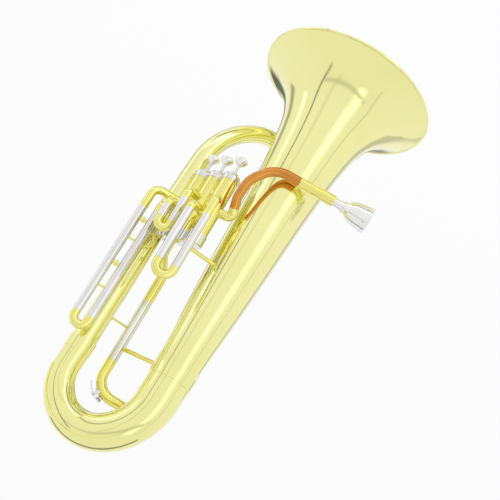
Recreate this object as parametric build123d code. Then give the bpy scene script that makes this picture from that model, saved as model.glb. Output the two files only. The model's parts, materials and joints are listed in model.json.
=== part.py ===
from build123d import *
import os
from math import atan2, cos, degrees, radians, sin

# A three-valve euphonium, bell up. Millimetres. The bell axis is the Z axis and the bottom bow hangs just
# above z = 0. The mouthpiece points to +X. The valves stand in front of the bell and to its left.

# ---- big tubes -------------------------------------------------------------------------------------------
WALL = 0.8
BELL_TOP = 666.0
BELL_RIM_R = 140.0
RIM_WIRE_R = 2.0
BELL_FOOT_Z = 150.0
BELL_FOOT_R = 30.4
BELL_STATIONS = [(BELL_FOOT_R, BELL_FOOT_Z), (33.4, 200), (40.4, 300), (46.0, 400), (49.3, 450),
                 (54.0, 505), (60.5, 553), (69.0, 587), (84.0, 616), (108.0, 641),
                 (BELL_RIM_R - RIM_WIRE_R, BELL_TOP - 2.5)]
BOW_CENTRE_Z = 91.0
BOW_BRANCH_BEND = 64.0
BOW_JOIN = 60.0
BOW_START_R = 30.2
BOW_BOTTOM_R = 23.8
BOW_END_R = 19.0
BELL_FERRULE_Z = (136.0, 163.0)
BELL_FERRULE_R, BELL_FERRULE_BORE_R = 32.2, 31.3
BRANCH_X, BRANCH_Y = -131.5, 40.0
BRANCH_TOP_X = -136.0
BRANCH_FOOT_Z = 121.0
BRANCH_TOP_Z = 359.0
BRANCH_FOOT_R = 18.6
BRANCH_TOP_R = 15.4
UPPER_BOW_START_Z = 455.0
UPPER_BOW_R1 = 120.0
UPPER_BOW_SWEEP1 = 60.0
UPPER_BOW_END_R = 11.5
FERRULE_LOW_R, FERRULE_HIGH_R, FERRULE_REAR_R = 20.0, 16.6, 12.8
REAR_X, REAR_TOP_Y = 7.3, 100.0
REAR_TOP_Z = 470.0
BUTT_GAP = 0.15
FERRULE_CLEARANCE = 0.15
GUARD_T = 0.9
GUARD_INSET = 13.0

# ---- the valve cluster leans a little towards the bell at its foot ---------------------------------------
CLUSTER_LEAN = 1.8
CLUSTER_X, CLUSTER_Z = -85.0, 300.0
VALVE_X, VALVE_Y = -73.0, -25.0
PITCH_X, PITCH_Y = -20.0, 21.0
CASING_R, CASING_BORE_R = 13.0, 12.0
CASING_Z = (323.0, 424.0)
CAP_R = 14.2
PISTON_R = 11.95
PISTON_Z = (352.0, 412.0)
STEM_R = 2.5
CAP_HOLE_R = 2.7
CAP_TOP_Z = 434.5
FELT_T = 1.5
BUTTON_R = 9.6
BUTTON_Z = (450.5, 462.0)
SPRING_SEAT_Z = 314.0
SPRING_R, SPRING_WIRE_R, SPRING_PITCH = 8.5, 0.7, 5.0

# ---- slides: outer sleeve, inner tube and the gap that lets a slide bow part from its sleeves -------------
SLEEVE_R, SLEEVE_BORE_R = 6.3, 5.65
INNER_R, INNER_BORE_R = 5.6, 5.0
MAIN_SLEEVE_R, MAIN_SLEEVE_BORE_R = 8.0, 7.25
MAIN_INNER_R, MAIN_INNER_BORE_R = 7.2, 6.6
MAIN_TUBE_R = 7.8
PART_GAP = 0.3
MAIN_FRONT = (-90.3, 61.0)
MAIN_REAR = (5.0, 72.0)
MAIN_SLEEVE_Z = (130.0, 228.0)
MAIN_BOW_Z = 81.0
MAIN_CORNER_R = 28.0
MAIN_INNER_LENGTH = 84.0

# plan of each leg, height of the sleeves' foot, tops of the two sleeves and length of the inner tubes
SLIDES = {
    "slide_1": dict(left=(-100.0, -50.0), right=(-75.0, -50.0), foot=262.0, tops=(346.0, 350.0), inner=72.0),
    "slide_2": dict(left=(-131.0, -25.0), right=(-115.0, -25.0), foot=323.5, tops=(344.0, 366.0), inner=19.0),
    "slide_3": dict(left=(-162.2, 0.0), right=(-140.3, 0.0), foot=156.0, tops=(331.0, 333.0), inner=160.0),
}
BRACE_R, THIN_BRACE_R = 3.0, 1.7

# ---- leadpipe and mouthpiece, square to the valves -------------------------------------------------------
LEAD_Y, LEAD_Z = -66.0, 457.0
LEAD_R, LEAD_BORE_R = 7.2, 6.4
LEAD_JOINT_X = 15.0
LEAD_BOW_END = (-47.0, -38.0, 383.0)
LEAD_BOW_LAST = (-51.0, -45.5, 398.0)
RECEIVER_X = (49.0, 70.0)
RECEIVER_R = 8.4
SHANK_R, RECEIVER_BORE_R = 6.0, 6.05
MOUTHPIECE_RIM_R = 19.2

CLUSTER = Pos(CLUSTER_X, 0, CLUSTER_Z) * Rot(0, -CLUSTER_LEAN, 0) * Pos(-CLUSTER_X, 0, -CLUSTER_Z)
VALVES = [(VALVE_X + i * PITCH_X, VALVE_Y + i * PITCH_Y) for i in range(3)]
os.makedirs("parts", exist_ok=True)


def save(name, shape, cluster=False):
    """Write one node. Cluster pieces are drawn upright and leaned here."""
    if isinstance(shape, (list, tuple)):
        shape = Compound(children=[s for piece in shape for s in piece.solids()])
    shape = CLUSTER * shape if cluster else shape
    export_step(shape, f"parts/{name}.step")


def run(*points, radii=()):
    """A path of straight runs joined by tangent arcs."""
    return FilletPolyline(*points, radius=list(radii)) if len(points) > 2 else Line(*points)


def pipe(path, outer, inner):
    """A tube of constant section along a path."""
    start = Plane(origin=path @ 0, z_dir=path % 0)
    return sweep(start * (Circle(outer) - Circle(inner)), path=path)


def taper(path, radii, side, wall=WALL):
    """A tapering tube along a flat path; side is the normal of the path's plane."""
    last = len(radii) - 1
    planes = [Plane(origin=path @ (i / last), x_dir=side, z_dir=path % (i / last)) for i in range(last + 1)]
    outside = loft([plane * Circle(r) for plane, r in zip(planes, radii)])
    if wall is None:
        return outside
    inside = loft([plane * Circle(r - wall) for plane, r in zip(planes, radii)])
    return outside - inside


def rod(start, end, radius):
    """A round bar between two points."""
    a, b = Vector(start), Vector(end)
    from_foot = (Align.CENTER, Align.CENTER, Align.MIN)
    return Plane(origin=a, z_dir=b - a) * Cylinder(radius, (b - a).length, align=from_foot)


def post(x, y, z0, z1, radius, bore=0.0):
    """An upright cylinder or tube."""
    section = Circle(radius) - Circle(bore) if bore else Circle(radius)
    return Pos(x, y, z0) * extrude(section, z1 - z0)


def turned(points, x=0.0, y=0.0):
    """A body turned about a vertical axis from (radius, height) points."""
    return Pos(x, y, 0) * revolve(Plane.XZ * make_face(Polyline(*points, close=True)), Axis.Z)


def spread(first, last, count):
    """Evenly spaced values."""
    return [first + (last - first) * i / (count - 1) for i in range(count)]


# ---- bell, bows and branches -----------------------------------------------------------------------------
def bell():
    """The long cone and its flare, with a hollow mouth, and the wire that is rolled into the rim."""
    outer = Spline(*BELL_STATIONS)
    inner = Spline(*[(r - WALL, z + (WALL if r > 80 else 0)) for r, z in BELL_STATIONS])
    edge = Line(outer @ 1, inner @ 1)
    foot = Line(inner @ 0, outer @ 0)
    shell = revolve(Plane.XZ * make_face([outer, edge, inner, foot]), Axis.Z)
    wire = Pos(0, 0, BELL_TOP - RIM_WIRE_R) * Torus(BELL_RIM_R - RIM_WIRE_R, RIM_WIRE_R)
    save("bell", shell - wire)
    save("bell_rim_wire", wire)
    save("bell_ferrule", post(0, 0, *BELL_FERRULE_Z, BELL_FERRULE_R, BELL_FERRULE_BORE_R))


def bow_plan():
    """The two arcs of the bottom bow: its direction in plan, the bell arc's radius and both centres."""
    across = Vector(BRANCH_X, BRANCH_Y, 0)
    join = radians(BOW_JOIN)
    bell_bend = (across.length - BOW_BRANCH_BEND * (1 + cos(join))) / (1 - cos(join))
    bell_centre = (bell_bend, BOW_CENTRE_Z + (bell_bend - BOW_BRANCH_BEND) * sin(join))
    return across.normalized(), bell_bend, bell_centre, (across.length - BOW_BRANCH_BEND, BOW_CENTRE_Z)


def bow_path():
    """From the foot of the bell, round the bottom, to the foot of the left branch."""
    along, bell_bend, bell_centre, branch_centre = bow_plan()

    def on_arc(centre, radius, angle):
        a = radians(angle)
        return along * (centre[0] - radius * cos(a)) + Vector(0, 0, centre[1] - radius * sin(a))

    bell_arc = [on_arc(bell_centre, bell_bend, angle) for angle in (0, BOW_JOIN / 2, BOW_JOIN)]
    branch_angles = (BOW_JOIN, BOW_JOIN / 2 + 90, 180)
    branch_arc = [on_arc(branch_centre, BOW_BRANCH_BEND, angle) for angle in branch_angles]
    return Wire([ThreePointArc(*bell_arc), ThreePointArc(*branch_arc)])


def bottom_bow():
    """Taper round the bend, with a straight collar at each end."""
    along, _, bell_centre, _ = bow_plan()
    side = Vector(-along.Y, along.X, 0)
    radii = spread(BOW_START_R, BOW_BOTTOM_R, 6)[:-1] + spread(BOW_BOTTOM_R, BOW_END_R, 6)
    bend = taper(bow_path(), radii, side)
    bell_collar = post(0, 0, bell_centre[1], BELL_FOOT_Z - BUTT_GAP, BOW_START_R, BOW_START_R - WALL)
    branch_collar = post(BRANCH_X, BRANCH_Y, BOW_CENTRE_Z, BRANCH_FOOT_Z, BOW_END_R, BOW_END_R - WALL)
    save("bottom_bow", bend + bell_collar + branch_collar)
    guarded = taper(bow_path(), [r + GUARD_T for r in radii], side, wall=None)
    save("bow_guard", guard_region(guarded - taper(bow_path(), radii, side, wall=None)))


def guard_region(skin):
    """The outer part of a skin round the bend, cut off squarely at both ends."""
    along, bell_bend, bell_centre, branch_centre = bow_plan()
    reach = 300.0
    frame = Plane(origin=(0, 0, 0), x_dir=along, z_dir=Vector(along.Y, -along.X, 0))
    join = radians(BOW_JOIN)
    wedge_end = (bell_centre[0] - reach * cos(join), bell_centre[1] - reach * sin(join))
    wedge = make_face(Polyline(bell_centre, (-reach, bell_centre[1]), (-reach, -reach), wedge_end, close=True))
    bell_side = frame * Pos(*bell_centre) * Cylinder(bell_bend + GUARD_INSET, reach)
    branch_side = frame * Pos(*branch_centre) * Cylinder(BOW_BRANCH_BEND + GUARD_INSET, reach)
    inside = branch_side + (bell_side & (frame * extrude(wedge, reach / 2, both=True)))
    middle = Vector(BRANCH_X, BRANCH_Y, 0).length / 2
    bell_cut = (middle - 112, BOW_CENTRE_Z - 62)
    branch_cut = (middle + 150, BOW_CENTRE_Z - 18)
    band = make_face(Polyline((middle, BOW_CENTRE_Z), branch_cut, (middle + 150, -reach),
                              (-reach, -reach), bell_cut, close=True))
    return (skin - inside) & (frame * extrude(band, reach / 2, both=True))


def branch_cone(wall):
    """The leaning cone of the left branch, hollow or solid."""
    foot = (BRANCH_X, BRANCH_Y, BRANCH_FOOT_Z + BUTT_GAP)
    top = (BRANCH_TOP_X, BRANCH_Y, BRANCH_TOP_Z - BUTT_GAP)
    return taper(Line(foot, top), [BRANCH_FOOT_R, BRANCH_TOP_R], (0, 1, 0), wall)


def left_branch():
    """The cone that rises from the bow, and the ferrules over its two ends and over the rear joint."""
    cone = branch_cone(WALL)
    save("left_branch", cone)
    low = post(BRANCH_X, BRANCH_Y, 111, 131, FERRULE_LOW_R, BOW_END_R + FERRULE_CLEARANCE)
    high = post(BRANCH_TOP_X, BRANCH_Y, 351, 367, FERRULE_HIGH_R, BRANCH_TOP_R + 0.1) - branch_cone(None)
    rear = post(REAR_X, REAR_TOP_Y, REAR_TOP_Z - 8, REAR_TOP_Z + 8, FERRULE_REAR_R,
                UPPER_BOW_END_R + FERRULE_CLEARANCE)
    save("branch_ferrules", [low, high, rear])


def upper_bow():
    """Up from the left branch, over behind the bell and down again."""
    start = Vector(BRANCH_TOP_X, BRANCH_Y, BRANCH_TOP_Z + BUTT_GAP)
    reach = Vector(REAR_X - BRANCH_TOP_X, REAR_TOP_Y - BRANCH_Y, 0)
    span, along = reach.length, reach.normalized()
    side = Vector(-along.Y, along.X, 0)
    a = radians(UPPER_BOW_SWEEP1)
    s1 = UPPER_BOW_R1 * (1 - cos(a))
    r2 = (span - s1) / (1 + cos(a))
    z1 = UPPER_BOW_START_Z + UPPER_BOW_R1 * sin(a)
    centre2_s, centre2_z = s1 + r2 * cos(a), z1 - r2 * sin(a)

    def at(s, z):
        return Vector(start.X, start.Y, 0) + along * s + Vector(0, 0, z)

    half = a / 2
    mid1 = at(UPPER_BOW_R1 * (1 - cos(half)), UPPER_BOW_START_Z + UPPER_BOW_R1 * sin(half))
    mid2 = at(centre2_s, centre2_z + r2)
    rise = Line(at(0, start.Z), at(0, UPPER_BOW_START_Z))
    arc1 = ThreePointArc(at(0, UPPER_BOW_START_Z), mid1, at(s1, z1))
    arc2 = ThreePointArc(at(s1, z1), mid2, at(span, centre2_z))
    bend_end = Vector(REAR_X, REAR_TOP_Y, centre2_z)
    bend = taper(Wire([arc1, arc2]), spread(BRANCH_TOP_R, UPPER_BOW_END_R, 13), side)
    foot = pipe(rise, BRANCH_TOP_R, BRANCH_TOP_R - WALL)
    drop = Line(bend_end, (REAR_X, REAR_TOP_Y, REAR_TOP_Z + BUTT_GAP))
    end = pipe(drop, UPPER_BOW_END_R, UPPER_BOW_END_R - WALL)
    save("upper_bow", foot + bend + end)


def lean(x, y, z):
    """Where a point of the upright cluster ends up."""
    return (CLUSTER * Pos(x, y, z)).position


def rear_tube():
    """From the upper bow down behind the bell to the rear leg of the main slide."""
    foot = lean(*MAIN_REAR, MAIN_SLEEVE_Z[1])
    neck = REAR_TOP_Z - 10
    path = run((REAR_X, REAR_TOP_Y, neck), (REAR_X, REAR_TOP_Y, 430), (REAR_X, foot.Y, 300),
               (REAR_X, foot.Y, foot.Z), radii=(60, 60))
    collar = post(REAR_X, REAR_TOP_Y, neck, REAR_TOP_Z - BUTT_GAP, UPPER_BOW_END_R, UPPER_BOW_END_R - WALL)
    save("rear_tube", taper(path, spread(UPPER_BOW_END_R, MAIN_SLEEVE_R, 13), (1, 0, 0)) + collar)


# ---- valves ----------------------------------------------------------------------------------------------
def knuckle(slide, leg, heights, turns, waypoints=()):
    """From the top of a sleeve up to the port height and across to the valve of the same number."""
    size = SLIDES[slide]
    x, y = size[leg]
    top = size["tops"][("left", "right").index(leg)]
    valve = VALVES[int(slide[-1]) - 1]
    return run((x, y, top), (x, y, heights[0]), *waypoints, (*valve, heights[1]), radii=turns)


SLIDE_RUNS = {
    "slide_1": [knuckle("slide_1", "left", (356, 356), (8,)),
                knuckle("slide_1", "right", (382, 382), (9,))],
    "slide_2": [knuckle("slide_2", "left", (353, 353), (7, 7), [(-124, -8.5, 353)]),
                knuckle("slide_2", "right", (381, 381), (9,))],
    "slide_3": [knuckle("slide_3", "left", (367, 371), (14,)),
                knuckle("slide_3", "right", (351, 353), (9,))],
}
LINK_Z = (397.0, 340.0)
LEAD_ELBOW_TURN = tuple(end + 0.85 * (end - last) for end, last in zip(LEAD_BOW_END, LEAD_BOW_LAST))
LEAD_ELBOW = run(LEAD_BOW_END, LEAD_ELBOW_TURN, (VALVE_X, VALVE_Y, LEAD_ELBOW_TURN[2] - 0.5), radii=(8,))
FEED = run((*VALVES[2], 339), (-106, 39, 339), (-106, 39, 296), (*MAIN_FRONT, 270),
           (*MAIN_FRONT, MAIN_SLEEVE_Z[1]), radii=(8, 18, 18))


def largest(shape):
    return max(shape.solids(), key=lambda s: s.volume)


def butted(tube):
    """A tube with whatever would reach into a casing cut away."""
    for x, y in VALVES:
        tube = tube - post(x, y, CASING_Z[0] - 5, CASING_Z[1] + 5, CASING_R)
    return largest(tube)


def links():
    """The short crossing tubes between neighbouring casings."""
    pairs = zip(VALVES, VALVES[1:], LINK_Z)
    return [((a[0], a[1], z), (b[0], b[1], z)) for a, b, z in pairs]


def top_cap(x, y):
    """A cap screwed over the casing's rim, with a hole for the stem."""
    return turned([(CASING_R, 420), (CAP_R, 420), (CAP_R, 427), (11.5, 431.5), (6, CAP_TOP_Z),
                   (CAP_HOLE_R, CAP_TOP_Z), (CAP_HOLE_R, 431), (9, 428.5), (CASING_BORE_R, CASING_Z[1]),
                   (CASING_R, CASING_Z[1])], x, y)


def bottom_cap(x, y):
    """A cap over the casing's foot, with a vent hole and the spring's seat."""
    return turned([(1.5, 310), (CASING_R, 310), (CAP_R, 311.5), (CAP_R, 327), (CASING_R, 327),
                   (CASING_R, CASING_Z[0]), (11.5, CASING_Z[0]), (11.5, SPRING_SEAT_Z),
                   (1.5, SPRING_SEAT_Z)], x, y)


def button(x, y):
    """A waisted finger button with a slightly dished top."""
    low, high = BUTTON_Z
    return turned([(0, low), (4.4, low), (5.4, low + 1.5), (BUTTON_R - 0.9, low + 5.2), (BUTTON_R, low + 6.8),
                   (BUTTON_R, high - 1.8), (BUTTON_R - 1.2, high - 0.3), (BUTTON_R - 2.4, high),
                   (0, high - 0.8)], x, y)


def ports():
    """The bores of every tube that opens into a casing."""
    holes = [rod(a, b, INNER_BORE_R) for a, b in links()]
    paths = [path for pair in SLIDE_RUNS.values() for path in pair] + [LEAD_ELBOW, FEED]
    return holes + [sweep(Plane(origin=path @ 0, z_dir=path % 0) * Circle(INNER_BORE_R), path=path)
                    for path in paths]


def valves():
    """Casings with their ports, caps, pistons, stems, buttons and springs."""
    holes = ports()
    for number, (x, y) in enumerate(VALVES, start=1):
        casing = post(x, y, *CASING_Z, CASING_R, CASING_BORE_R)
        for hole in holes:
            casing = casing - hole
        stem = post(x, y, PISTON_Z[1] + 2, BUTTON_Z[0], STEM_R) + post(x, y, PISTON_Z[1], PISTON_Z[1] + 2, 6)
        save(f"valve_{number}_casing", largest(casing), True)
        save(f"valve_{number}_top_cap", top_cap(x, y), True)
        save(f"valve_{number}_bottom_cap", bottom_cap(x, y), True)
        save(f"valve_{number}_piston", piston(x, y), True)
        save(f"valve_{number}_stem", stem, True)
        save(f"valve_{number}_button", button(x, y), True)
        save(f"valve_{number}_spring", spring(x, y), True)
    felts = [post(x, y, CAP_TOP_Z, CAP_TOP_Z + FELT_T, 6, CAP_HOLE_R + 0.2) for x, y in VALVES]
    save("valve_felts", felts, True)
    tubes = [butted(rod(a, b, SLEEVE_R) - rod(a, b, INNER_BORE_R)) for a, b in links()]
    save("valve_links", tubes, True)


def piston(x, y):
    """A piston with three cross passages and a recess for its spring."""
    low, high = PISTON_Z
    body = post(x, y, low, high, PISTON_R) - post(x, y, low, low + 3, 9.8)
    for turn, z in ((45, low + 11), (-45, low + 29), (45, low + 47)):
        body = body - Pos(x, y, z) * Rot(0, 0, turn) * Rot(0, 90, 0) * Cylinder(INNER_BORE_R, 40)
    return body


def spring(x, y):
    """An open coil between the bottom cap and the piston."""
    low, high = SPRING_SEAT_Z + SPRING_WIRE_R, PISTON_Z[0] + 3 - SPRING_WIRE_R
    coil = Helix(SPRING_PITCH, high - low, SPRING_R)
    section = Plane(origin=coil @ 0, z_dir=coil % 0) * Circle(SPRING_WIRE_R)
    return Pos(x, y, low) * sweep(section, path=coil, is_frenet=True)


# ---- slides ----------------------------------------------------------------------------------------------
def u_bend(left, right, z):
    """Down one leg, half a turn and up the other."""
    a, b = Vector(*left, z), Vector(*right, z)
    radius = (b - a).length / 2
    drop = Vector(0, 0, 5)
    bottom = (a + b) / 2 - drop - Vector(0, 0, radius)
    return Wire([Line(a, a - drop), ThreePointArc(a - drop, bottom, b - drop), Line(b - drop, b)])


def slide_braces():
    """Bars between the long sleeves of the third slide, two of them with an oval boss."""
    (lx, ly), (rx, ry) = SLIDES["slide_3"]["left"], SLIDES["slide_3"]["right"]
    bars = []
    for z, boss in ((314, True), (281, False), (239, True), (201, False)):
        bar = rod((lx, ly, z), (rx, ry, z), 2.4 if boss else 1.8)
        if boss:
            bar = bar + Pos((lx + rx) / 2, ly, z) * Rot(0, 90, 0) * Cylinder(4.2, 4.5)
        bar = bar - post(lx, ly, z - 9, z + 9, SLEEVE_R) - post(rx, ry, z - 9, z + 9, SLEEVE_R)
        bars.append(bar)
    return [CLUSTER * bar for bar in bars]


def slides():
    """The three valve slides: fixed sleeves and knuckles, moving inner tubes and bow."""
    for name, size in SLIDES.items():
        low = size["foot"]
        legs = [size["left"], size["right"]]
        sleeves = [post(*leg, low, top, SLEEVE_R, SLEEVE_BORE_R) for leg, top in zip(legs, size["tops"])]
        save(f"{name}_sleeves", sleeves, True)
        knuckles = [butted(pipe(path, SLEEVE_R, INNER_BORE_R)) for path in SLIDE_RUNS[name]]
        save(f"{name}_knuckles", knuckles, True)
        bow_z = low - PART_GAP
        inner = [post(*leg, bow_z, bow_z + size["inner"], INNER_R, INNER_BORE_R) for leg in legs]
        save(f"{name}_inner_tubes", inner, True)
        save(f"{name}_bow", pipe(u_bend(*legs, bow_z), SLEEVE_R, INNER_BORE_R), True)


def main_slide():
    """The main tuning slide with one leg in front of the other, behind the bottom bow."""
    low, high = MAIN_SLEEVE_Z
    sleeves = [post(*leg, low, high, MAIN_SLEEVE_R, MAIN_SLEEVE_BORE_R) for leg in (MAIN_FRONT, MAIN_REAR)]
    save("main_slide_sleeves", sleeves, True)
    bow_z = low - PART_GAP
    inner = [post(*leg, bow_z, bow_z + MAIN_INNER_LENGTH, MAIN_INNER_R, MAIN_INNER_BORE_R)
             for leg in (MAIN_FRONT, MAIN_REAR)]
    save("main_slide_inner_tubes", inner, True)
    path = run((*MAIN_FRONT, bow_z), (*MAIN_FRONT, MAIN_BOW_Z), (*MAIN_REAR, MAIN_BOW_Z), (*MAIN_REAR, bow_z),
               radii=(MAIN_CORNER_R, MAIN_CORNER_R))
    save("main_slide_bow", pipe(path, MAIN_TUBE_R, MAIN_INNER_BORE_R), True)
    save("main_slide_feed", butted(pipe(FEED, MAIN_TUBE_R, MAIN_INNER_BORE_R)), True)


# ---- water key, on the outside of the main bow's front corner ----------------------------------------------
KEY_CENTRE_X = MAIN_FRONT[0] + MAIN_CORNER_R
KEY_CENTRE_Z = MAIN_BOW_Z + MAIN_CORNER_R
KEY_TUBE_R = MAIN_CORNER_R + MAIN_TUBE_R
KEY_PIVOT_ANGLE, KEY_CORK_ANGLE, KEY_THUMB_ANGLE = 232.0, 247.0, 205.0
KEY_ARM_R = KEY_TUBE_R + 6.2
KEY_PIN_R = 1.0
KEY_SWING = degrees(atan2(MAIN_REAR[1] - MAIN_FRONT[1], MAIN_REAR[0] - MAIN_FRONT[0]))


def key_point(angle, radius):
    """A point in the plane of the corner, by its angle and its distance from the corner's centre."""
    a = radians(angle)
    return KEY_CENTRE_X + radius * cos(a), MAIN_FRONT[1], KEY_CENTRE_Z + radius * sin(a)


def save_key(name, *shapes):
    """Turn a piece of the key into the plane of the slide's bow and write it."""
    swing = Pos(*MAIN_FRONT, 0) * Rot(0, 0, KEY_SWING) * Pos(-MAIN_FRONT[0], -MAIN_FRONT[1], 0)
    save(name, [swing * shape for shape in shapes], True)


def key_rod(angle, inner, outer, radius):
    return rod(key_point(angle, inner), key_point(angle, outer), radius)


def key_pin(radius, half):
    x, y, z = key_point(KEY_PIVOT_ANGLE, KEY_ARM_R)
    return rod((x, y - half, z), (x, y + half, z), radius)


def water_key():
    """Saddle with two ears and the drain nipple, lever, cork, pin and spring."""
    x, y, z = key_point(KEY_PIVOT_ANGLE, KEY_ARM_R)
    frame = Pos(KEY_CENTRE_X, y, KEY_CENTRE_Z) * Rot(90, 0, 0)
    corner = ThreePointArc(*[key_point(angle, MAIN_CORNER_R) for angle in (185, 230, 275)])
    tube = sweep(Plane(origin=corner @ 0, z_dir=corner % 0) * Circle(MAIN_TUBE_R + BUTT_GAP), path=corner)
    ear = key_rod(KEY_PIVOT_ANGLE, KEY_TUBE_R - 4, KEY_ARM_R, 2.6) & (Pos(x, y, z) * Box(40, 1.4, 40))
    ears = [Pos(0, shift, 0) * ear for shift in (-4.8, 4.8)]
    foot = key_rod(KEY_PIVOT_ANGLE, KEY_TUBE_R - 3, KEY_TUBE_R + 1.2, 6.2)
    saddle = foot + ears[0] + ears[1] - tube - key_pin(KEY_PIN_R, 9)
    nipple = key_rod(KEY_CORK_ANGLE, KEY_TUBE_R - 1.5, KEY_TUBE_R + 2.2, 3.2) - tube
    nipple = nipple - key_rod(KEY_CORK_ANGLE, KEY_TUBE_R - 4, KEY_TUBE_R + 4, 1.6)
    save_key("water_key_saddle", saddle, nipple)
    arm = Circle(KEY_ARM_R + 0.8) - Circle(KEY_ARM_R - 0.8)
    sector = [(0, 0)] + [(70 * cos(radians(a)), 70 * sin(radians(a))) for a in
                         (KEY_THUMB_ANGLE, KEY_PIVOT_ANGLE, KEY_CORK_ANGLE + 3)]
    blade = extrude(arm & make_face(Polyline(*sector, close=True)), 2.6, both=True)
    lever = frame * blade + key_pin(2.4, 2.6) - key_pin(KEY_PIN_R + 0.05, 6)
    cup = key_rod(KEY_CORK_ANGLE, KEY_ARM_R - 1.8, KEY_ARM_R, 4.2)
    save_key("water_key_lever", lever + cup)
    save_key("water_key_cork", key_rod(KEY_CORK_ANGLE, KEY_TUBE_R + 2.5, KEY_ARM_R - 1.8, 3.6))
    save_key("water_key_pin", key_pin(KEY_PIN_R, 6.2))
    turns = [Pos(x, y + offset, z) * Rot(90, 0, 0) * Torus(1.5, 0.22) for offset in (-3.45, -3.0, 3.0, 3.45)]
    save_key("water_key_spring", *turns)


# ---- leadpipe, receiver and mouthpiece -------------------------------------------------------------------
def leadpipe():
    """Straight pipe, rose bow over the front of the bell, elbow into the first valve, and the receiver."""
    joint = (LEAD_JOINT_X, LEAD_Y, LEAD_Z)
    straight = run(joint, (RECEIVER_X[0], LEAD_Y, LEAD_Z))
    save("leadpipe", pipe(straight, LEAD_R, LEAD_BORE_R), True)
    curve = run(joint, (-23, LEAD_Y, LEAD_Z), (-49, -57.5, 425), LEAD_BOW_LAST, LEAD_BOW_END,
                radii=(42, 40, 22))
    save("leadpipe_bow", pipe(curve, LEAD_R - 0.1, LEAD_BORE_R), True)
    save("leadpipe_elbow", butted(pipe(LEAD_ELBOW, LEAD_R, LEAD_BORE_R)), True)
    low, high = RECEIVER_X
    tube = rod((low, LEAD_Y, LEAD_Z), (high, LEAD_Y, LEAD_Z), RECEIVER_R)
    save("receiver", tube - rod((low, LEAD_Y, LEAD_Z), (high, LEAD_Y, LEAD_Z), RECEIVER_BORE_R), True)
    outline = [(SHANK_R, 49.5), (SHANK_R, 72), (7.2, 84), (8.8, 85), (8.8, 87.5), (8.0, 89), (12.2, 93.5),
               (15.4, 99.5), (17.2, 107), (17.8, 116), (MOUTHPIECE_RIM_R, 119), (MOUTHPIECE_RIM_R, 124),
               (18.0, 126), (15.6, 126.6), (13.6, 125.4), (12.6, 121), (11.0, 110), (6.5, 101), (3.4, 96),
               (3.4, 90), (5.0, 49.5)]
    body = revolve(Plane.XZ * make_face(Polyline(*outline, close=True)), Axis.Z)
    save("mouthpiece", Pos(0, LEAD_Y, LEAD_Z) * Rot(0, 90, 0) * body, True)


# ---- braces and strap ring -------------------------------------------------------------------------------
def tie(start, end, radius, *surfaces):
    """A round bar from axis to axis, cut to the surfaces of the two tubes that it is soldered to."""
    bar = rod(start, end, radius)
    for surface in surfaces:
        bar = bar - surface
    return largest(bar)


def braces():
    """Bars that tie the tubes together."""
    clear = 0.1
    profile = [(r + clear, z) for r, z in BELL_STATIONS[:6]]
    cone = turned([(0, BELL_FOOT_Z), *profile, (0, profile[-1][1])])
    ferrule = post(0, 0, 100, 180, BELL_FERRULE_R + clear)
    sleeve = CLUSTER * post(*MAIN_FRONT, 90, 240, MAIN_SLEEVE_R + clear)
    slide_sleeve = CLUSTER * post(*SLIDES["slide_1"]["right"], 270, 340, SLEEVE_R + clear)
    lead = CLUSTER * rod((-10, LEAD_Y, LEAD_Z), (40, LEAD_Y, LEAD_Z), LEAD_R + clear)
    rear_top = Vector(REAR_X, REAR_TOP_Y, REAR_TOP_Z)
    rear = post(REAR_X, REAR_TOP_Y, REAR_TOP_Z - 9, REAR_TOP_Z + 9, FERRULE_REAR_R + clear)
    bars = [
        tie((BRANCH_X, BRANCH_Y, 177), lean(*MAIN_FRONT, 180), THIN_BRACE_R, sleeve, branch_cone(None)),
        tie(lean(*MAIN_FRONT, 150), (0, 0, 150), 3.2, sleeve, ferrule),
        tie(lean(*SLIDES["slide_1"]["right"], 296), (0, 0, 308), BRACE_R, slide_sleeve, cone),
        tie(lean(16, LEAD_Y, LEAD_Z), (8, 0, 450), BRACE_R, lead, cone),
        tie(rear_top, (0, 0, REAR_TOP_Z), BRACE_R, rear, cone),
    ]
    save("braces", bars + slide_braces())


def strap_ring():
    """The carrying ring on the front of the left branch, with its foot."""
    ring = Pos(-133, 17.5, 296) * Rot(90, 0, 0) * Torus(10.5, 1.6)
    foot = rod((-133.0, 17.5, 286.0), (-133.0, 30, 286.0), 3.0)
    save("strap_ring", ring + foot - branch_cone(None))


bell()
bottom_bow()
left_branch()
upper_bow()
rear_tube()
valves()
slides()
main_slide()
water_key()
leadpipe()
braces()
strap_ring()
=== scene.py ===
import json
from math import cos, pi, radians, sin, sqrt

import bpy
from mathutils import Matrix, Vector


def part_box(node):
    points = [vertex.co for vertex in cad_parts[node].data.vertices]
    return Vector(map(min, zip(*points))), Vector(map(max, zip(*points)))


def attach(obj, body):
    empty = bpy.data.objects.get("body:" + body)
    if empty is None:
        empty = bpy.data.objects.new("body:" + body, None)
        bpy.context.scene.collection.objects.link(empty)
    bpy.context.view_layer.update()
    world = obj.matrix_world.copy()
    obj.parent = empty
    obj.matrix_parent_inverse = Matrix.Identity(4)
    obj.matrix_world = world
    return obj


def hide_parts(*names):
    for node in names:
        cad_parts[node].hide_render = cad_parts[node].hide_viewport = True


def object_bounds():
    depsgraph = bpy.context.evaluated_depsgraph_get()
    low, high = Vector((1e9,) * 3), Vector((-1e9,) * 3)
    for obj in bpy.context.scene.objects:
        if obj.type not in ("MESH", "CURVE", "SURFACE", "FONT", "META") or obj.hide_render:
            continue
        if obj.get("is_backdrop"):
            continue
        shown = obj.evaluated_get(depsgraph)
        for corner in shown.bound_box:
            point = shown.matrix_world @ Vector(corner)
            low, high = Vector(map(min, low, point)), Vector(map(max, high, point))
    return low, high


# A three-valve euphonium in pale lacquered brass. Metres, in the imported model's own frame: the bell axis is Z.

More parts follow.
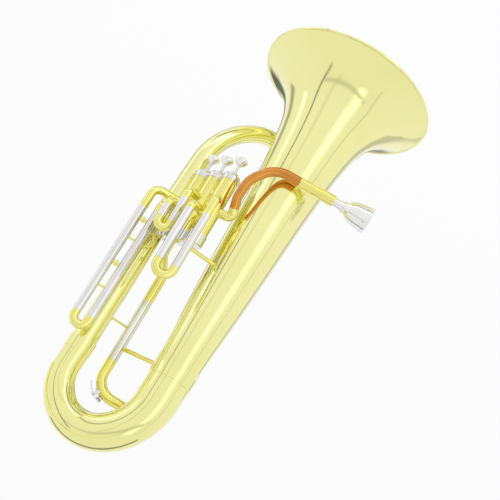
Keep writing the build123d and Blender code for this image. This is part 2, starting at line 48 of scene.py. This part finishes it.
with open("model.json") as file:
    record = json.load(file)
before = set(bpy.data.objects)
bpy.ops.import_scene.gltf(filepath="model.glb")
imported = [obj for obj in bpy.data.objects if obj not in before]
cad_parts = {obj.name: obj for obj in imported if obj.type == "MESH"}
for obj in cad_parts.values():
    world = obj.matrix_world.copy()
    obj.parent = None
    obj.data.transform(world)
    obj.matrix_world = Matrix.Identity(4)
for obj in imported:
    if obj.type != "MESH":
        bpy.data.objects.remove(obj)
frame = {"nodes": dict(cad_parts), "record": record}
CAD_LOW, CAD_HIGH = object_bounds()
NODES = frame["nodes"]

# ---- driving dimensions of the large tubes -------------------------------------------------------------
WALL = 0.0008
BELL_OUTLINE = [(0.0304, 0.150), (0.0334, 0.200), (0.0404, 0.300), (0.0460, 0.400), (0.0493, 0.450),
                (0.0540, 0.505), (0.0605, 0.553), (0.0690, 0.587), (0.0840, 0.616), (0.1080, 0.641),
                (0.1380, 0.6635)]
BOW_CENTRE_Z = 0.091
BOW_BRANCH_BEND = 0.064
BOW_JOIN = radians(60)
BOW_RADII = (0.0302, 0.0238, 0.0190)
UPPER_BOW_START_Z = 0.455
UPPER_BOW_RADIUS = 0.120
UPPER_BOW_SWEEP = radians(60)
UPPER_BOW_RADII = (0.0154, 0.0115)
BRANCH_RADII = (0.0186, 0.0154)
BELL_FERRULE_BORE = 0.0313
AROUND = 128
BELL_AROUND = 256
TUBE_AROUND = 96


# ---- reading places from the frame ---------------------------------------------------------------------
def slab_centre(node, low, high):
    """The middle of the part of a CAD node that lies between two heights."""
    points = [v.co for v in NODES[node].data.vertices if low <= v.co.z <= high]
    xs, ys = [p.x for p in points], [p.y for p in points]
    height = sum(p.z for p in points) / len(points)
    return Vector(((min(xs) + max(xs)) / 2, (min(ys) + max(ys)) / 2, height))


# ---- mesh making ---------------------------------------------------------------------------------------
def link(name, vertices, faces, smooth=True):
    mesh = bpy.data.meshes.new(name)
    mesh.from_pydata([tuple(v) for v in vertices], [], faces)
    mesh.validate()
    for polygon in mesh.polygons:
        polygon.use_smooth = smooth
    piece = bpy.data.objects.new(name, mesh)
    bpy.context.scene.collection.objects.link(piece)
    return piece


def sharpen(piece, degrees=38):
    """Creases at the hard edges of a smooth piece."""
    piece.data.set_sharp_from_angle(angle=radians(degrees))
    return piece


def turned(name, outline, axis_point=(0, 0, 0), around=AROUND):
    """A closed outline of (radius, height) turned about a vertical axis."""
    count = len(outline)
    base = Vector(axis_point)
    vertices, faces = [], []
    for i in range(around):
        turn = 2 * pi * i / around
        vertices += [base + Vector((r * cos(turn), r * sin(turn), z)) for r, z in outline]
    for i in range(around):
        here, there = i * count, (i + 1) % around * count
        for j in range(count):
            k = (j + 1) % count
            faces.append((here + j, there + j, there + k, here + k))
    return sharpen(link(name, vertices, faces))


def smooth_curve(points, steps):
    """A smooth curve through every point, in cubic pieces whose end slopes allow for uneven spacing."""
    result = []
    for i in range(len(points) - 1):
        a, b = points[i], points[i + 1]
        before = points[i - 1] if i else (2 * a[0] - b[0], 2 * a[1] - b[1])
        after = points[i + 2] if i + 2 < len(points) else (2 * b[0] - a[0], 2 * b[1] - a[1])
        span = sqrt((b[0] - a[0]) ** 2 + (b[1] - a[1]) ** 2)
        back = sqrt((a[0] - before[0]) ** 2 + (a[1] - before[1]) ** 2)
        ahead = sqrt((after[0] - b[0]) ** 2 + (after[1] - b[1]) ** 2)
        start = [((b[k] - before[k]) / (span + back)) * span for k in (0, 1)]
        end = [((after[k] - a[k]) / (span + ahead)) * span for k in (0, 1)]
        for step in range(steps):
            t = step / steps
            h = (2 * t**3 - 3 * t**2 + 1, t**3 - 2 * t**2 + t, -2 * t**3 + 3 * t**2, t**3 - t**2)
            result.append(tuple(h[0] * a[k] + h[1] * start[k] + h[2] * b[k] + h[3] * end[k] for k in (0, 1)))
    return result + [points[-1]]


def resample(path, count):
    """Evenly spaced points along a polyline."""
    lengths = [0.0]
    for a, b in zip(path, path[1:]):
        lengths.append(lengths[-1] + (b - a).length)
    result, j = [], 0
    for i in range(count):
        want = lengths[-1] * i / (count - 1)
        while j < len(path) - 2 and lengths[j + 1] < want:
            j += 1
        span = lengths[j + 1] - lengths[j]
        result.append(path[j].lerp(path[j + 1], (want - lengths[j]) / span if span else 0.0))
    return result


def tube(name, path, radii, around):
    """A tube of changing radius along a path, open at both ends."""
    rings = len(path)
    tangents = []
    for i in range(rings):
        tangents.append((path[min(i + 1, rings - 1)] - path[max(i - 1, 0)]).normalized())
    across = tangents[0].orthogonal().normalized()
    vertices = []
    for i in range(rings):
        if i:
            across = (across - tangents[i] * across.dot(tangents[i])).normalized()
        other = tangents[i].cross(across)
        for radius in (radii[i], radii[i] - WALL):
            vertices += [path[i] + (across * cos(2 * pi * k / around) + other * sin(2 * pi * k / around)) * radius
                         for k in range(around)]
    faces = []
    for i in range(rings - 1):
        here, there = 2 * i * around, 2 * (i + 1) * around
        for k in range(around):
            n = (k + 1) % around
            faces.append((here + k, here + n, there + n, there + k))
            faces.append((here + around + n, here + around + k, there + around + k, there + around + n))
    last = 2 * (rings - 1) * around
    for k in range(around):
        n = (k + 1) % around
        faces.append((n, k, around + k, around + n))
        faces.append((last + k, last + n, last + around + n, last + around + k))
    return sharpen(link(name, vertices, faces), 60)


def spread(first, last, count):
    return [first + (last - first) * i / (count - 1) for i in range(count)]


# ---- materials -----------------------------------------------------------------------------------------
def new_material(name):
    material = bpy.data.materials.new(name)
    material.use_nodes = True
    nodes = material.node_tree.nodes
    return material, nodes, material.node_tree.links, nodes["Principled BSDF"]


def noise(nodes, links, coordinates, scale, detail, stretch=(1, 1, 1)):
    mapping = nodes.new("ShaderNodeMapping")
    mapping.inputs["Scale"].default_value = stretch
    texture = nodes.new("ShaderNodeTexNoise")
    texture.inputs["Scale"].default_value = scale
    texture.inputs["Detail"].default_value = detail
    links.new(coordinates.outputs["Object"], mapping.inputs["Vector"])
    links.new(mapping.outputs["Vector"], texture.inputs["Vector"])
    return texture.outputs["Fac"]


def ramp(nodes, links, value, low, high, start=0.35, end=0.65):
    node = nodes.new("ShaderNodeValToRGB")
    node.color_ramp.elements[0].position = start
    node.color_ramp.elements[1].position = end
    node.color_ramp.elements[0].color = (*low, 1)
    node.color_ramp.elements[1].color = (*high, 1)
    links.new(value, node.inputs["Fac"])
    return node.outputs["Color"]


def span(nodes, links, value, low, high):
    node = nodes.new("ShaderNodeMapRange")
    node.inputs["To Min"].default_value = low
    node.inputs["To Max"].default_value = high
    links.new(value, node.inputs["Value"])
    return node.outputs["Result"]


def bump(nodes, links, shader, value, strength, distance):
    node = nodes.new("ShaderNodeBump")
    node.inputs["Strength"].default_value = strength
    node.inputs["Distance"].default_value = distance
    links.new(value, node.inputs["Height"])
    links.new(node.outputs["Normal"], shader.inputs["Normal"])


def metal(name, light, deep, rough, coat=0.0, ripple=0.05, stretch=(1, 1, 1)):
    """Polished metal: slow colour drift, fine wipe marks in the roughness and a faint hand-spun ripple."""
    material, nodes, links, shader = new_material(name)
    coordinates = nodes.new("ShaderNodeTexCoord")
    drift = noise(nodes, links, coordinates, 9.0, 3.0)
    wipe = noise(nodes, links, coordinates, 160.0, 6.0, stretch)
    wave = noise(nodes, links, coordinates, 55.0, 2.0, (1, 1, 0.35))
    links.new(ramp(nodes, links, drift, deep, light), shader.inputs["Base Color"])
    links.new(span(nodes, links, wipe, rough[0], rough[1]), shader.inputs["Roughness"])
    bump(nodes, links, shader, wave, ripple, 0.0004)
    shader.inputs["Metallic"].default_value = 1.0
    shader.inputs["Coat Weight"].default_value = coat
    shader.inputs["Coat Roughness"].default_value = 0.04
    return material


def soft(name, light, deep, scale, height):
    """Felt or cork: mottled, rough, with a pitted surface."""
    material, nodes, links, shader = new_material(name)
    coordinates = nodes.new("ShaderNodeTexCoord")
    grain = noise(nodes, links, coordinates, scale, 8.0)
    links.new(ramp(nodes, links, grain, deep, light), shader.inputs["Base Color"])
    bump(nodes, links, shader, grain, 0.6, height)
    shader.inputs["Roughness"].default_value = 0.92
    return material


LACQUER = metal("lacquered_brass", (0.90, 0.875, 0.40), (0.87, 0.84, 0.35), (0.07, 0.13), coat=0.5,
                ripple=0.012)
# The same lacquer with a deeper, more saturated base colour for the smaller tubes: painted shade that stands in for
# the golden shade of brass reflected in brass.
LACQUER_SHADED_COPY = metal("lacquered_brass_shaded_copy", (0.89, 0.83, 0.28), (0.86, 0.78, 0.22), (0.06, 0.12), coat=0.6,
              ripple=0.01)
ROSE = metal("rose_brass", (0.76, 0.34, 0.05), (0.52, 0.18, 0.02), (0.05, 0.11), coat=0.6, ripple=0.01)
NICKEL_SILVER = metal("nickel_silver", (0.84, 0.83, 0.82), (0.74, 0.73, 0.72), (0.06, 0.14), ripple=0.01,
                      stretch=(6, 6, 0.3))
NICKEL = metal("nickel_plate", (0.82, 0.82, 0.82), (0.74, 0.74, 0.75), (0.05, 0.12), ripple=0.01)
SILVER = metal("silver_plate", (0.90, 0.90, 0.89), (0.82, 0.82, 0.82), (0.07, 0.14), ripple=0.01)
PISTON = metal("piston_plate", (0.80, 0.80, 0.78), (0.72, 0.72, 0.70), (0.12, 0.22), stretch=(1, 1, 14))
SPRING = metal("spring_steel", (0.62, 0.62, 0.62), (0.5, 0.5, 0.5), (0.18, 0.3))
FELT = soft("felt", (0.78, 0.76, 0.70), (0.62, 0.60, 0.55), 900.0, 0.0003)
CORK = soft("cork", (0.62, 0.42, 0.24), (0.30, 0.17, 0.08), 420.0, 0.0004)
BY_SLOT = {"lacquered_brass": LACQUER, "rose_brass": ROSE, "nickel_silver": NICKEL_SILVER,
           "nickel_plate": NICKEL, "silver_plate": SILVER, "piston_plate": PISTON, "spring_steel": SPRING,
           "felt": FELT, "cork": CORK}


def paint(piece, slot):
    piece.data.materials.clear()
    piece.data.materials.append(BY_SLOT[slot])


def finish_piece(piece, body, slot, *replaced):
    """Give a new piece its material, its body and the CAD nodes that it stands for."""
    paint(piece, slot)
    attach(piece, body)
    if replaced:
        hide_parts(*replaced)
    return piece


LARGE = ("bell", "bell_rim_wire", "bell_ferrule", "bottom_bow", "bow_guard", "left_branch", "branch_ferrules",
         "upper_bow")
for part in frame["record"]["subparts"]:
    node = NODES[part["node"]]
    slot = part["material_slot"]
    # Small lacquered tubes get the lacquer copy with painted shade; the large tubes keep the plain lacquer.
    shaded_copy = slot == "lacquered_brass" and part["node"] not in LARGE
    for holder in node.material_slots:
        holder.material = LACQUER_SHADED_COPY if shaded_copy else BY_SLOT[slot]

ROOT = "instrument"
BRASS = "lacquered_brass"


# ---- bell ----------------------------------------------------------------------------------------------
def bell():
    """The spun bell with its rolled rim."""
    outer = smooth_curve(BELL_OUTLINE, 14)
    inner = [(r - WALL, z + (WALL if r > 0.08 else 0.0)) for r, z in outer]
    finish_piece(turned("bell_shell", outer + inner[::-1], around=BELL_AROUND), ROOT, BRASS, "bell")
    low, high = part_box("bell_rim_wire")
    wire_r = (high.z - low.z) / 2
    ring_r = high.x - wire_r
    middle = (low.z + high.z) / 2
    bead = [(ring_r + wire_r * cos(2 * pi * i / 32), middle + wire_r * sin(2 * pi * i / 32)) for i in range(32)]
    finish_piece(turned("bell_rim", bead, around=BELL_AROUND), ROOT, BRASS, "bell_rim_wire")


def ferrule(name, outer, bore, lip, low, high, centre):
    """A sleeve over a joint, with a rounded bead at each edge and a lip that closes its lower end."""
    bead = 0.0008
    outline = [(lip, low + 0.0006), (bore, low + 0.0006), (bore, high)]
    outline += [(outer - bead + bead * cos(a), high - bead + bead * sin(a)) for a in spread(pi / 2, 0, 6)]
    outline += [(outer - 0.0004, high - 2.2 * bead), (outer - 0.0004, low + 2.2 * bead)]
    outline += [(outer - bead + bead * cos(a), low + bead + bead * sin(a)) for a in spread(0, -pi / 2, 6)]
    outline += [(lip, low)]
    return turned(name, outline[::-1], centre)


# ---- bottom bow and branches ---------------------------------------------------------------------------
BRANCH_FOOT = slab_centre("left_branch", CAD_LOW.z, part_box("left_branch")[0].z + 0.001)
BRANCH_HEAD = slab_centre("left_branch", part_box("left_branch")[1].z - 0.001, CAD_HIGH.z)


def bottom_bow():
    """The tapering U at the foot, with its straight ends, as one smooth tube."""
    bell_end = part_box("bottom_bow")[1].z
    branch_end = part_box("left_branch")[0].z
    across = Vector((BRANCH_FOOT.x, BRANCH_FOOT.y, 0))
    along = across.normalized()
    bell_bend = (across.length - BOW_BRANCH_BEND * (1 + cos(BOW_JOIN))) / (1 - cos(BOW_JOIN))
    bell_z = BOW_CENTRE_Z + (bell_bend - BOW_BRANCH_BEND) * sin(BOW_JOIN)
    branch_s = across.length - BOW_BRANCH_BEND
    bend = [along * (bell_bend - bell_bend * cos(a)) + Vector((0, 0, bell_z - bell_bend * sin(a)))
            for a in spread(0, BOW_JOIN, 36)]
    bend += [along * (branch_s - BOW_BRANCH_BEND * cos(a)) + Vector((0, 0, BOW_CENTRE_Z - BOW_BRANCH_BEND * sin(a)))
             for a in spread(BOW_JOIN, pi, 54)][1:]
    rise = [Vector((0, 0, z)) for z in spread(bell_end, bell_z, 8)][:-1]
    climb = [Vector((across.x, across.y, z)) for z in spread(BOW_CENTRE_Z, branch_end, 8)][1:]
    travel = [0.0]
    for p, q in zip(bend, bend[1:]):
        travel.append(travel[-1] + (q - p).length)
    radii = [BOW_RADII[0]] * len(rise)
    for s in travel:
        t = 2 * s / travel[-1]
        first, last = BOW_RADII[:2] if t < 1 else BOW_RADII[1:]
        radii.append(first + (last - first) * (t if t < 1 else t - 1))
    radii += [BOW_RADII[2]] * len(climb)
    piece = tube("bottom_bow_tube", rise + bend + climb, radii, TUBE_AROUND)
    return finish_piece(piece, ROOT, BRASS, "bottom_bow")


def left_branch():
    """The leaning cone between the bottom bow and the upper bow."""
    path = resample([BRANCH_FOOT, BRANCH_HEAD], 24)
    piece = tube("left_branch_tube", path, spread(*BRANCH_RADII, 24), TUBE_AROUND)
    return finish_piece(piece, ROOT, BRASS, "left_branch")


def upper_bow():
    """Up from the left branch, over behind the bell and down again."""
    low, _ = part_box("upper_bow")
    start = Vector((BRANCH_HEAD.x, BRANCH_HEAD.y, 0))
    foot = slab_centre("rear_tube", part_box("rear_tube")[1].z - 0.002, CAD_HIGH.z)
    reach = Vector((foot.x - start.x, foot.y - start.y, 0))
    along, distance = reach.normalized(), reach.length
    a = UPPER_BOW_SWEEP
    shift = UPPER_BOW_RADIUS * (1 - cos(a))
    second = (distance - shift) / (1 + cos(a))
    top_z = UPPER_BOW_START_Z + UPPER_BOW_RADIUS * sin(a)
    second_z = top_z - second * sin(a)

    def at(s, z):
        return start + along * s + Vector((0, 0, z))

    first = [at(UPPER_BOW_RADIUS * (1 - cos(t)), UPPER_BOW_START_Z + UPPER_BOW_RADIUS * sin(t))
             for t in spread(0, a, 30)]
    over = [at(shift + second * (cos(a) - cos(t)), second_z + second * sin(t)) for t in spread(a, pi, 50)]
    bend = first + over[1:]
    straight = [at(0, z) for z in spread(low.z, UPPER_BOW_START_Z, 8)][:-1]
    drop = [at(distance, z) for z in spread(second_z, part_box("rear_tube")[1].z, 6)][1:]
    lengths = [0.0]
    for p, q in zip(bend, bend[1:]):
        lengths.append(lengths[-1] + (q - p).length)
    taper = [UPPER_BOW_RADII[0] + (UPPER_BOW_RADII[1] - UPPER_BOW_RADII[0]) * s / lengths[-1] for s in lengths]
    radii = [UPPER_BOW_RADII[0]] * len(straight) + taper + [UPPER_BOW_RADII[1]] * len(drop)
    piece = tube("upper_bow_tube", straight + bend + drop, radii, TUBE_AROUND)
    return finish_piece(piece, ROOT, BRASS, "upper_bow")


bell()
bottom_bow()
left_branch()
upper_bow()
low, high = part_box("bell_ferrule")
band = ferrule("bell_ferrule_band", high.x, BELL_FERRULE_BORE, BOW_RADII[0], low.z, high.z, (0, 0, 0))
finish_piece(band, ROOT, BRASS, "bell_ferrule")


# ---- floor, light and camera ---------------------------------------------------------------------------
def floor():
    """A pale floor under the instrument, clear from below and in reflections."""
    size, level = 6.0, CAD_LOW.z - 0.0005
    plane = link("floor", [(-size, -size, level), (size, -size, level), (size, size, level), (-size, size, level)],
                 [(0, 1, 2, 3)], smooth=False)
    material, nodes, links, shader = new_material("floor_paint")
    coordinates = nodes.new("ShaderNodeTexCoord")
    grain = noise(nodes, links, coordinates, 30.0, 3.0)
    links.new(ramp(nodes, links, grain, (0.93, 0.93, 0.92), (0.95, 0.95, 0.94)), shader.inputs["Base Color"])
    shader.inputs["Roughness"].default_value = 0.8
    geometry = nodes.new("ShaderNodeNewGeometry")
    clear = nodes.new("ShaderNodeBsdfTransparent")
    mix = nodes.new("ShaderNodeMixShader")
    links.new(geometry.outputs["Backfacing"], mix.inputs["Fac"])
    links.new(shader.outputs["BSDF"], mix.inputs[1])
    links.new(clear.outputs["BSDF"], mix.inputs[2])
    links.new(mix.outputs["Shader"], nodes["Material Output"].inputs["Surface"])
    plane.data.materials.append(material)
    plane.visible_glossy = False
    plane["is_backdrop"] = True


MIDDLE = (CAD_LOW + CAD_HIGH) / 2


SIDE = {"elevation": 28, "height": 1.2}
SIDE_TALL = {"elevation": 26, "height": 1.5}

# name, azimuth in degrees, width in metres, brightness, and the rest of the panel's shape
PANELS = [
    ("flag_left", -56, 0.15, 0.10, {"edge": 0.9}),
    ("flag_left_soft", -30, 0.30, 0.80, {"edge": 1.0}),
    ("flag_right", 60, 0.12, 0.60, {"edge": 1.0}),
    ("flag_edge_left", -122, 0.7, 0.42, {**SIDE, "edge": 0.9}),
    ("flag_edge_right", 135, 0.8, 0.62, {**SIDE_TALL, "edge": 0.7}),
    ("flag_back_left", -162, 0.6, 0.16, {**SIDE, "edge": 0.7}),
    ("flag_back_right", 168, 0.5, 0.34, {**SIDE, "edge": 0.7}),
    ("soft_box", 27, 0.95, 1.45, {"edge": 1.0}),
    ("soft_box_left", -82, 0.40, 1.6, {**SIDE_TALL, "edge": 0.9}),
    ("flag_above", -10, 2.6, 0.12, {"elevation": 66, "height": 0.26, "edge": 0.6}),
    ("flag_above_behind", 175, 2.6, 0.25, {"elevation": 64, "height": 0.26, "edge": 0.7}),
    ("soft_box_above", -10, 2.4, 2.6, {"elevation": 48, "height": 0.22, "edge": 0.8}),
    ("flag_below", -5, 3.0, 0.66, {"elevation": -38, "height": 0.42, "edge": 1.0}),
    ("flag_under", 170, 3.0, 0.25, {"elevation": -64, "height": 0.60, "edge": 0.9}),
]


def strip(name, azimuth, width, strength, elevation=0.0, height=3.6, edge=0.5, distance=1.7):
    """A studio panel that shows only in reflections and fades out towards its long sides.

    Azimuth 0 is in front and positive is to the right; edge is the share of the half width that fades.
    """
    a, e = radians(azimuth), radians(elevation)
    out = Vector((sin(a) * cos(e), -cos(a) * cos(e), sin(e)))
    w, h = width / 2, height / 2
    panel = link(name, [(-w, -h, 0), (w, -h, 0), (w, h, 0), (-w, h, 0)], [(0, 1, 2, 3)], False)
    facing = out.to_track_quat("Z", "Y").to_matrix().to_4x4()
    panel.matrix_world = Matrix.Translation(MIDDLE + out * distance) @ facing
    material, nodes, links, _ = new_material(name)
    nodes.remove(nodes["Principled BSDF"])
    coordinates = nodes.new("ShaderNodeTexCoord")
    axes = nodes.new("ShaderNodeSeparateXYZ")
    links.new(coordinates.outputs["Object"], axes.inputs["Vector"])
    offset = nodes.new("ShaderNodeMath")
    offset.operation = "ABSOLUTE"
    short_side = "X" if width < height else "Y"
    links.new(axes.outputs[short_side], offset.inputs[0])
    half = min(w, h)
    fade = nodes.new("ShaderNodeMapRange")
    fade.interpolation_type = "SMOOTHSTEP"
    fade.inputs["From Min"].default_value = half
    fade.inputs["From Max"].default_value = half * (1 - edge)
    links.new(offset.outputs[0], fade.inputs["Value"])
    glow = nodes.new("ShaderNodeEmission")
    glow.inputs["Color"].default_value = (1, 1, 1, 1)
    glow.inputs["Strength"].default_value = strength
    clear = nodes.new("ShaderNodeBsdfTransparent")
    mix = nodes.new("ShaderNodeMixShader")
    links.new(fade.outputs["Result"], mix.inputs["Fac"])
    links.new(clear.outputs["BSDF"], mix.inputs[1])
    links.new(glow.outputs["Emission"], mix.inputs[2])
    links.new(mix.outputs["Shader"], nodes["Material Output"].inputs["Surface"])
    panel.data.materials.append(material)
    panel.visible_camera = False
    panel.visible_shadow = False
    panel.visible_diffuse = False
    panel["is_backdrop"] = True


def light():
    """A white room, brighter above, with the studio panels and one soft key light."""
    world = bpy.data.worlds.new("studio")
    world.use_nodes = True
    bpy.context.scene.world = world
    nodes, links = world.node_tree.nodes, world.node_tree.links
    coordinates = nodes.new("ShaderNodeTexCoord")
    parts = nodes.new("ShaderNodeSeparateXYZ")
    links.new(coordinates.outputs["Generated"], parts.inputs["Vector"])
    height = nodes.new("ShaderNodeMapRange")
    height.inputs["From Min"].default_value = -1.0
    links.new(parts.outputs["Z"], height.inputs["Value"])
    shade = nodes.new("ShaderNodeValToRGB")
    shade.color_ramp.elements[0].color = (0.92, 0.92, 0.92, 1)
    shade.color_ramp.elements[1].color = (1.0, 1.0, 1.0, 1)
    links.new(height.outputs["Result"], shade.inputs["Fac"])
    links.new(shade.outputs["Color"], nodes["Background"].inputs["Color"])
    nodes["Background"].inputs["Strength"].default_value = 1.0
    for name, azimuth, width, strength, shape in PANELS:
        strip(name, azimuth, width, strength, **shape)
    lamp = bpy.data.lights.new("key", "AREA")
    lamp.energy, lamp.size = 14.0, 1.2
    holder = bpy.data.objects.new("key", lamp)
    holder.location = (-1.2, -1.6, 1.9)
    holder.rotation_euler = (MIDDLE - holder.location).to_track_quat("-Z", "Y").to_euler()
    holder.visible_glossy = False
    bpy.context.scene.collection.objects.link(holder)


def camera():
    """Low in front, tilted up and rolled, so that the bell leans to the upper right."""
    pitch, roll = radians(20.3), radians(31.6)
    forward = Vector((0, cos(pitch), sin(pitch)))
    rise = Vector((0, -sin(pitch), cos(pitch)))
    right = Vector((1, 0, 0)) * cos(roll) + rise * sin(roll)
    up = Vector((-1, 0, 0)) * sin(roll) + rise * cos(roll)
    data = bpy.data.cameras.new("camera")
    data.sensor_width, data.lens = 36.0, 57.02
    holder = bpy.data.objects.new("camera", data)
    turn = Matrix((right, up, -forward)).transposed().to_4x4()
    holder.matrix_world = Matrix.Translation((0, -1.0743, -0.0395)) @ turn
    bpy.context.scene.collection.objects.link(holder)
    bpy.context.scene.camera = holder


floor()
light()
camera()
bpy.context.scene.view_settings.view_transform = "Standard"

low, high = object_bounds()
